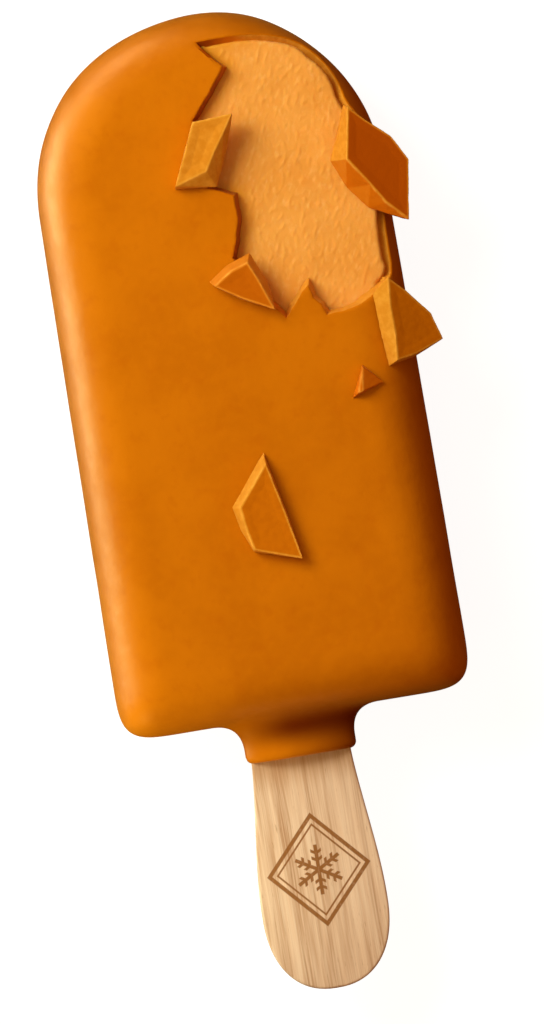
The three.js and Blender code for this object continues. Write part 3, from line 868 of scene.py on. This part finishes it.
def build_shard(shard, seed):
    """A loose piece of coating, with its broken sides uneven and its upper face slightly hollow."""
    piece = shard_block(shard)
    points = read_points(piece)
    normals = np.array([v.normal for v in piece.data.vertices])
    slope = np.array(shard["slope"])
    plane = np.array([-slope[0], -slope[1], 1]) / math.sqrt(1 + slope @ slope)
    facing = normals @ plane
    outline = np.array(shard["top"], float)
    x, y = points[:, :2].T
    depth = outline_distance(outline, x, y)
    level = np.clip((facing - UPPER_FACING[0]) / UPPER_FACING[1], 0, 1)
    upper = level * points_inside(outline, x, y)
    hollow = shard["dish"] * np.clip(depth / DISH_REACH, 0, 1) ** DISH_POWER * upper
    fine, coarse = (bumps(points, size, seed + shift) for size, shift in zip(ROUGH_SIZES, (0, 20)))
    rough = SHARD_ROUGHNESS * (0.5 * fine + coarse) * (1 - SMOOTHER_TOP * upper)
    moved = np.where(facing < FOOT_FACING, 0, rough - hollow)
    write_points(piece, points + normals * moved[:, None])
    on_skin = np.clip(depth / SHARD_BAND, 0, 1) * upper
    # A painted highlight along the broken edges
    edge_highlight = np.clip(1 - depth / SHARD_HIGHLIGHT, 0, 1) * (facing > HIGHLIGHT_FACING)
    set_break_and_highlight_share(piece, 1 - on_skin * (1 - shard.get("pale", 0)) + edge_highlight)
    # Painted shade on the skin and on the sides towards -Y, which face away from the light
    shaded = np.maximum(on_skin, np.clip(-2 * normals[:, 1], 0, 1))
    set_shade(piece, shard.get("shade", 0.0) * np.maximum(shaded, shard.get("shade_all", 0.0)))
    return piece


def set_attribute(piece, name, values):
    """Keeps a number at each vertex for the material, in the same place if a cut has brought it along."""
    attributes = piece.data.attributes
    attribute = attributes.get(name) or attributes.new(name, "FLOAT", "POINT")
    attribute.data.foreach_set("value", np.ascontiguousarray(values, np.float32))


def set_break_and_highlight_share(piece, values):
    """Keeps at each vertex where it lies: 0 on the glaze's skin, 1 on a fresh break, 2 on the painted
    highlight along its edge.
    """
    set_attribute(piece, "break_and_highlight_share", values)


def set_shade(piece, values):
    """Keeps at each vertex how much painted shade it has: on the caramel 0 none, 1 a darker shaded tone,
    2 as dark as the shaded cracked walls. On the ice cream it is the share of painted shade by the cracked
    walls."""
    set_attribute(piece, "painted_shade_share", values)


class Nodes:
    """Short ways to build one material's node tree, with positions in millimetres."""

    def __init__(self, name):
        self.material = bpy.data.materials.new(name)
        self.material.use_nodes = True
        self.tree = self.material.node_tree
        self.shader = next(n for n in self.tree.nodes if n.type == "BSDF_PRINCIPLED")
        place = self.add("ShaderNodeTexCoord")
        scaled = self.add("ShaderNodeVectorMath", operation="SCALE")
        self.link(place.outputs["Object"], scaled.inputs[0])
        scaled.inputs["Scale"].default_value = 1 / MM
        self.position = scaled.outputs[0]

    def add(self, kind, **settings):
        node = self.tree.nodes.new(kind)
        for key, value in settings.items():
            setattr(node, key, value)
        return node

    def link(self, source, target):
        self.tree.links.new(source, target)

    def feed(self, socket, value):
        if isinstance(value, bpy.types.NodeSocket):
            self.link(value, socket)
        else:
            socket.default_value = value

    def split(self, vector):
        """The three coordinates of a vector."""
        node = self.add("ShaderNodeSeparateXYZ")
        self.link(vector, node.inputs[0])
        return node.outputs

    def kept(self, name):
        """The number that a piece keeps at each vertex under a name."""
        return self.add("ShaderNodeAttribute", attribute_name=name).outputs["Fac"]

    def noise(self, size, detail=2.0, stretch=(1, 1, 1), turn=0.0, roughness=0.5):
        """Noise from 0 to 1 with features of a size in millimetres, drawn out by stretch."""
        mapping = self.add("ShaderNodeMapping", vector_type="TEXTURE")
        mapping.inputs["Scale"].default_value = stretch
        mapping.inputs["Rotation"].default_value = (0, 0, turn)
        self.link(self.position, mapping.inputs["Vector"])
        node = self.add("ShaderNodeTexNoise")
        node.inputs["Scale"].default_value = 1 / size
        node.inputs["Detail"].default_value = detail
        node.inputs["Roughness"].default_value = roughness
        self.link(mapping.outputs[0], node.inputs["Vector"])
        return node.outputs["Fac"]

    def math(self, operation, *values):
        node = self.add("ShaderNodeMath", operation=operation)
        for socket, value in zip(node.inputs, values):
            self.feed(socket, value)
        return node.outputs[0]

    def range(self, value, low, high, start=0.0, end=1.0):
        node = self.add("ShaderNodeMapRange")
        node.interpolation_type = "SMOOTHSTEP"
        for socket, number in zip(node.inputs, (value, low, high, start, end)):
            self.feed(socket, number)
        return node.outputs[0]

    def mix(self, share, low, high):
        node = self.add("ShaderNodeMix", data_type="RGBA")
        self.feed(node.inputs["Factor"], share)
        self.feed(node.inputs[6], low)
        self.feed(node.inputs[7], high)
        return node.outputs[2]

    def bump(self, height, depth, before=None):
        """Bump from a height of 0 to 1 that stands for a depth in millimetres."""
        node = self.add("ShaderNodeBump")
        node.inputs["Distance"].default_value = depth * MM
        self.link(height, node.inputs["Height"])
        if before is not None:
            self.link(before, node.inputs["Normal"])
        return node.outputs[0]

    def finish(self, colour, roughness, normal, **constants):
        self.feed(self.shader.inputs["Base Color"], colour)
        self.feed(self.shader.inputs["Roughness"], roughness)
        self.feed(self.shader.inputs["Normal"], normal)
        for key, value in constants.items():
            self.shader.inputs[key.replace("_", " ")].default_value = value
        return self.material


def srgb(red, green, blue):
    """Linear colour of an sRGB one, given from 0 to 255."""
    parts = [c / 255 for c in (red, green, blue)]
    return (*(c / 12.92 if c <= 0.04045 else ((c + 0.055) / 1.055) ** 2.4 for c in parts), 1)


def caramel_coating():
    """Smooth caramel glaze with faint mottling, a fine, soft unevenness and painted shade in the crease at
    the bar's end.
    """
    n = Nodes("caramel_coating")
    broad = n.range(n.noise(9, 3), 0.35, 0.65)
    small = n.noise(1.6, 3)
    colour = n.mix(broad, srgb(*COAT_DEEP), srgb(*COAT_LIGHT))
    colour = n.mix(n.range(small, 0.4, 0.75, 0, 0.4), colour, srgb(*COAT_LIGHT))
    colour = n.mix(n.range(n.noise(2.2, 4), 0.5, 0.75, 0, 0.35), colour, srgb(*COAT_POOL))
    x, y, _ = n.split(n.position)
    # Painted shade in the crease where the collar meets the bar's end, lasting further down the collar on
    # its right
    deepest = END_Y - CREASE_DEEPEST
    into_crease = n.range(y, END_Y + CREASE_START, deepest)
    fading = n.range(x, NECK_X - CREASE_LEFT, NECK_X + NECK_HALF_WIDTH, 1, 0.3)
    past_crease = n.range(y, deepest, NECK_END_Y + 1, 0, fading)
    crease_shade = n.math("SUBTRACT", into_crease, past_crease)
    off_side = n.range(x, NECK_X - NECK_HALF_WIDTH, NECK_X, 0.35, 1)
    colour = n.mix(n.math("MULTIPLY", crease_shade, off_side), colour, srgb(*COAT_CREASE_SHADE))
    roughness = n.range(n.noise(3, 2), 0.3, 0.7, 0.4, 0.5)
    normal = n.bump(n.noise(0.35, 2), 0.012)
    normal = n.bump(n.noise(2.4, 2), 0.08, normal)
    return n.finish(colour, roughness, normal, **COAT_SHINE)


def broken_caramel():
    """Snapped caramel: a little lighter, with the fine grain of a break."""
    n = Nodes("broken_caramel")
    grain = n.noise(0.9, 3, roughness=0.6)
    broken = n.mix(n.range(grain, 0.35, 0.7), srgb(*BREAK_DEEP), srgb(*BREAK_LIGHT))
    skin = n.mix(n.range(grain, 0.3, 0.7), srgb(*COAT_DEEP), srgb(*COAT_LIGHT))
    share = n.kept("break_and_highlight_share")
    colour = n.mix(n.range(share, 0, 1), skin, broken)
    # Painted shade: a darker tone on shaded skin and breaks, darker still on the cracked walls
    shade_share = n.kept("painted_shade_share")
    shaded = n.mix(n.range(share, 0, 1), srgb(*SHADED_SKIN), srgb(*SHADED_BREAK))
    colour = n.mix(n.range(shade_share, 0, 1), colour, shaded)
    colour = n.mix(n.range(shade_share, 1, 2), colour, srgb(*SHADED_WALL))
    # Painted highlight along the broken edges, in uneven patches
    highlight_patches = n.range(n.noise(1.7, 2), 0.35, 0.65, 0.1, 0.65)
    edge_highlight = n.math("MULTIPLY", n.range(share, 1, 2), highlight_patches)
    colour = n.mix(edge_highlight, colour, srgb(*BREAK_HIGHLIGHT))
    normal = n.bump(n.noise(0.3, 2), 0.01)
    normal = n.bump(n.noise(1.4, 2), 0.04, normal)
    return n.finish(colour, n.range(grain, 0.3, 0.7, 0.42, 0.5), normal, **COAT_SHINE)


def soft_ice_cream():
    """Soft ice cream with faint slanting streaks, and painted shade beside the cracked walls."""
    n = Nodes("soft_ice_cream")
    turn = math.radians(GRAIN_TURN)
    streaks = n.noise(GRAIN_WIDTH, 3, stretch=(1, 2.2, 1), turn=turn)
    cloud = n.noise(7, 2)
    colour = n.mix(n.range(cloud, 0.3, 0.7), srgb(*ICE_DEEP), srgb(*ICE_LIGHT))
    colour = n.mix(n.range(streaks, 0.5, 0.75, 0, 0.5), colour, srgb(*ICE_FLECK))
    # Painted shade beside the cracked walls, in the orange of light thrown off the caramel
    ice_shade = n.range(n.kept("painted_shade_share"), 0, 1, 0, 0.85)
    colour = n.mix(ice_shade, colour, srgb(*ICE_WALL_SHADE))
    normal = n.bump(n.noise(0.25, 3), 0.02)
    return n.finish(
        colour, 0.62, normal,
        Subsurface_Weight=0.25, Subsurface_Radius=(1, 0.55, 0.25), Subsurface_Scale=1.2 * MM,
    )


def stamp_mask(n):
    """Share of ink of a plain mark on the handle: a six-armed frost star in a double lozenge."""
    shifted = n.add("ShaderNodeVectorMath", operation="SUBTRACT")
    n.link(n.position, shifted.inputs[0])
    shifted.inputs[1].default_value = (*STAMP_CENTRE, 0)
    x, y, z = n.split(shifted.outputs[0])

    def line(distance, width):
        return n.range(n.math("ABSOLUTE", distance), width / 2 + STAMP_SOFT, width / 2 - STAMP_SOFT)

    slant = math.hypot(1 / STAMP_HALF_WIDTH, 1 / STAMP_HALF_LENGTH)
    across = n.math("DIVIDE", n.math("ABSOLUTE", x), STAMP_HALF_WIDTH)
    along = n.math("DIVIDE", n.math("ABSOLUTE", y), STAMP_HALF_LENGTH)
    edge = n.math("DIVIDE", n.math("SUBTRACT", n.math("ADD", across, along), 1), slant)
    inner_edge = n.math("ADD", edge, STAMP_LINE_GAP)
    lozenges = n.math("MAXIMUM", line(edge, STAMP_LINE), line(inner_edge, STAMP_INNER_LINE))

    radius = n.math("SQRT", n.math("ADD", n.math("MULTIPLY", x, x), n.math("MULTIPLY", y, y)))
    # Whole turns make the angle positive, and the six arms are folded onto one
    angle = n.math("ADD", n.math("ARCTAN2", x, y), 3 * 2 * math.pi)
    folded = n.math("PINGPONG", angle, math.pi / 6)
    arm_x = n.math("MULTIPLY", radius, n.math("COSINE", folded))
    arm_y = n.math("MULTIPLY", radius, n.math("SINE", folded))
    reach = n.range(radius, STAR_RADIUS + STAMP_SOFT, STAR_RADIUS - STAMP_SOFT)
    arm = n.math("MULTIPLY", line(arm_y, STAR_LINE), reach)
    total = n.math("MAXIMUM", lozenges, arm)
    for start in STAR_BARBS:
        along_barb = n.math("MULTIPLY", n.math("SUBTRACT", arm_x, start), math.sin(math.pi / 3))
        away = n.math("SUBTRACT", along_barb, n.math("MULTIPLY", arm_y, math.cos(math.pi / 3)))
        short = n.range(arm_y, STAR_BARB_LENGTH + STAR_BARB_SOFT, STAR_BARB_LENGTH - STAR_BARB_SOFT)
        total = n.math("MAXIMUM", total, n.math("MULTIPLY", line(away, STAR_BARB_LINE), short))
    on_top = n.range(z, MID_Z + 0.2 * STICK_THICKNESS, MID_Z + 0.3 * STICK_THICKNESS)
    return n.math("MULTIPLY", total, on_top)


def birch_stick():
    """Birch with straight grain: fine long fibres, broader bands and short darker pores."""
    n = Nodes("birch_stick")
    fibres = n.noise(0.22, 3, stretch=(1, 40, 1))
    bands = n.noise(1.5, 3, stretch=(1, 25, 1))
    pores = n.noise(0.16, 2, stretch=(1, 14, 1))
    colour = n.mix(n.range(bands, 0.3, 0.7), srgb(*WOOD_DEEP), srgb(*WOOD_LIGHT))
    colour = n.mix(n.range(fibres, 0.35, 0.7, 0, 0.55), colour, srgb(*WOOD_FIBRE))
    colour = n.mix(n.range(pores, 0.66, 0.76, 0, 0.5), colour, srgb(*WOOD_PORE))
    _, y, _ = n.split(n.position)
    # Painted shadow of the collar on the stick just below it
    collar_shadow = n.range(y, NECK_END_Y - COLLAR_SHADOW_REACH, NECK_END_Y - COLLAR_SHADOW_FULL, 0, 0.6)
    colour = n.mix(collar_shadow, colour, srgb(*WOOD_COLLAR_SHADOW))
    ink = n.math("MULTIPLY", stamp_mask(n), n.range(n.noise(0.5, 3), 0.2, 0.5, 0.75, 0.95))
    colour = n.mix(ink, colour, srgb(*STAMP_BROWN))
    normal = n.bump(fibres, 0.04)
    normal = n.bump(bands, 0.05, normal)
    return n.finish(colour, n.range(fibres, 0.3, 0.7, 0.55, 0.7), normal)


def dress(piece, node, materials):
    """Turns a piece into metres, gives it its materials and lets it stand for its node."""
    piece.name = node + "_look"
    piece.data.name = piece.name
    piece.data.transform(Matrix.Scale(MM, 4))
    piece.data.shade_smooth()
    piece.data.set_sharp_from_angle(angle=math.radians(SHARP_ANGLE))
    piece.data.materials.clear()
    for material in materials:
        piece.data.materials.append(material)
    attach(piece, "root")
    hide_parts(node)


def broken_faces(coating):
    """1 for each broken face of the coating, which lies on neither its outside nor its cavity, else 0."""
    mesh = coating.data
    centres = np.empty(len(mesh.polygons) * 3)
    mesh.polygons.foreach_get("center", centres)
    x, y, z = centres.reshape(-1, 3).T
    near_outside, near_cavity = 0.06, 0.04
    inside = outside_field(x, y, z) < -RIPPLE - near_outside
    off_cavity = np.abs(body_field(x, y, z, CAVITY)) > near_cavity
    return (inside & off_cavity).astype(np.int32)


def build_object():
    """Makes a piece in place of each node."""
    coat, broken = caramel_coating(), broken_caramel()
    coating = build_coating()
    ice_cream = build_ice_cream(coating)
    shade_ice_cream_by_walls(ice_cream)
    with_second_material = broken_faces(coating)
    dress(coating, "coating", [coat, broken])
    coating.data.polygons.foreach_set("material_index", with_second_material)
    dress(ice_cream, "ice_cream", [soft_ice_cream()])
    dress(stick_solid("stick_piece"), "stick", [birch_stick()])
    for seed, shard in enumerate(SHARDS):
        dress(build_shard(shard, seed), shard["name"], [broken])


def area_light(name, azimuth, elevation, distance, size, power, colour, gloss):
    """A square light that looks at the middle of the bar, with its azimuth from -X towards +Y. It is for
    the bar's gloss alone or for all but its gloss."""
    azimuth, elevation = math.radians(azimuth), math.radians(elevation)
    flat = math.cos(elevation)
    way = Vector((-flat * math.cos(azimuth), flat * math.sin(azimuth), math.sin(elevation)))
    light = bpy.data.lights.new(name, "AREA")
    light.shape = "SQUARE"
    light.size = size * MM
    light.energy = power
    light.color = colour
    obj = bpy.data.objects.new(name, light)
    bpy.context.scene.collection.objects.link(obj)
    obj.location = (Vector((0, 0, MID_Z)) + way * distance) * MM
    obj.rotation_euler = way.to_track_quat("Z", "Y").to_euler()
    obj.visible_camera = False
    obj.visible_diffuse = not gloss
    obj.visible_glossy = gloss


def set_floor():
    """A pale floor that neither lights nor shades the bar."""
    bpy.ops.mesh.primitive_plane_add(size=FLOOR_METRES)
    floor = bpy.context.object
    floor.name = "floor"
    n = Nodes("floor")
    n.shader.inputs["Base Color"].default_value = (FLOOR_GREY, FLOOR_GREY, FLOOR_GREY, 1)
    n.shader.inputs["Roughness"].default_value = 1
    n.shader.inputs["Emission Color"].default_value = (1, 1, 1, 1)
    n.shader.inputs["Emission Strength"].default_value = FLOOR_GLOW
    floor.data.materials.append(n.material)
    floor.visible_diffuse = False
    floor.visible_glossy = False
    floor.visible_shadow = False


def set_sky():
    """Soft light from all round, lighter and less red from above."""
    world = bpy.data.worlds.new("studio")
    bpy.context.scene.world = world
    world.use_nodes = True
    nodes, links = world.node_tree.nodes, world.node_tree.links
    background = nodes["Background"]
    background.inputs["Strength"].default_value = SKY_STRENGTH
    way = nodes.new("ShaderNodeTexCoord")
    split = nodes.new("ShaderNodeSeparateXYZ")
    height = nodes.new("ShaderNodeMapRange")
    height.inputs["From Min"].default_value = -1
    ramp = nodes.new("ShaderNodeValToRGB")
    while len(ramp.color_ramp.elements) < len(SKY):
        ramp.color_ramp.elements.new(0.5)
    for element, (rise, colour) in zip(ramp.color_ramp.elements, SKY):
        element.position = (rise + 1) / 2
        element.color = (*colour, 1)
    links.new(way.outputs["Generated"], split.inputs[0])
    links.new(split.outputs["Z"], height.inputs["Value"])
    links.new(height.outputs[0], ramp.inputs["Fac"])
    links.new(ramp.outputs[0], background.inputs["Color"])


def set_camera():
    """A long lens that looks straight down."""
    camera = bpy.data.cameras.new("camera")
    camera.sensor_width = SENSOR
    camera.lens = SENSOR * CAMERA_HEIGHT / FRAME_HEIGHT
    camera.clip_end = 10
    obj = bpy.data.objects.new("camera", camera)
    bpy.context.scene.collection.objects.link(obj)
    obj.location = Vector((*CAMERA_AIM, MID_Z + CAMERA_HEIGHT)) * MM
    obj.rotation_euler = (0, 0, math.radians(CAMERA_TURN))
    bpy.context.scene.camera = obj
    bpy.context.scene.view_settings.view_transform = "Standard"


build_object()
set_floor()
set_sky()
for light in LIGHTS:
    area_light(**light)
set_camera()
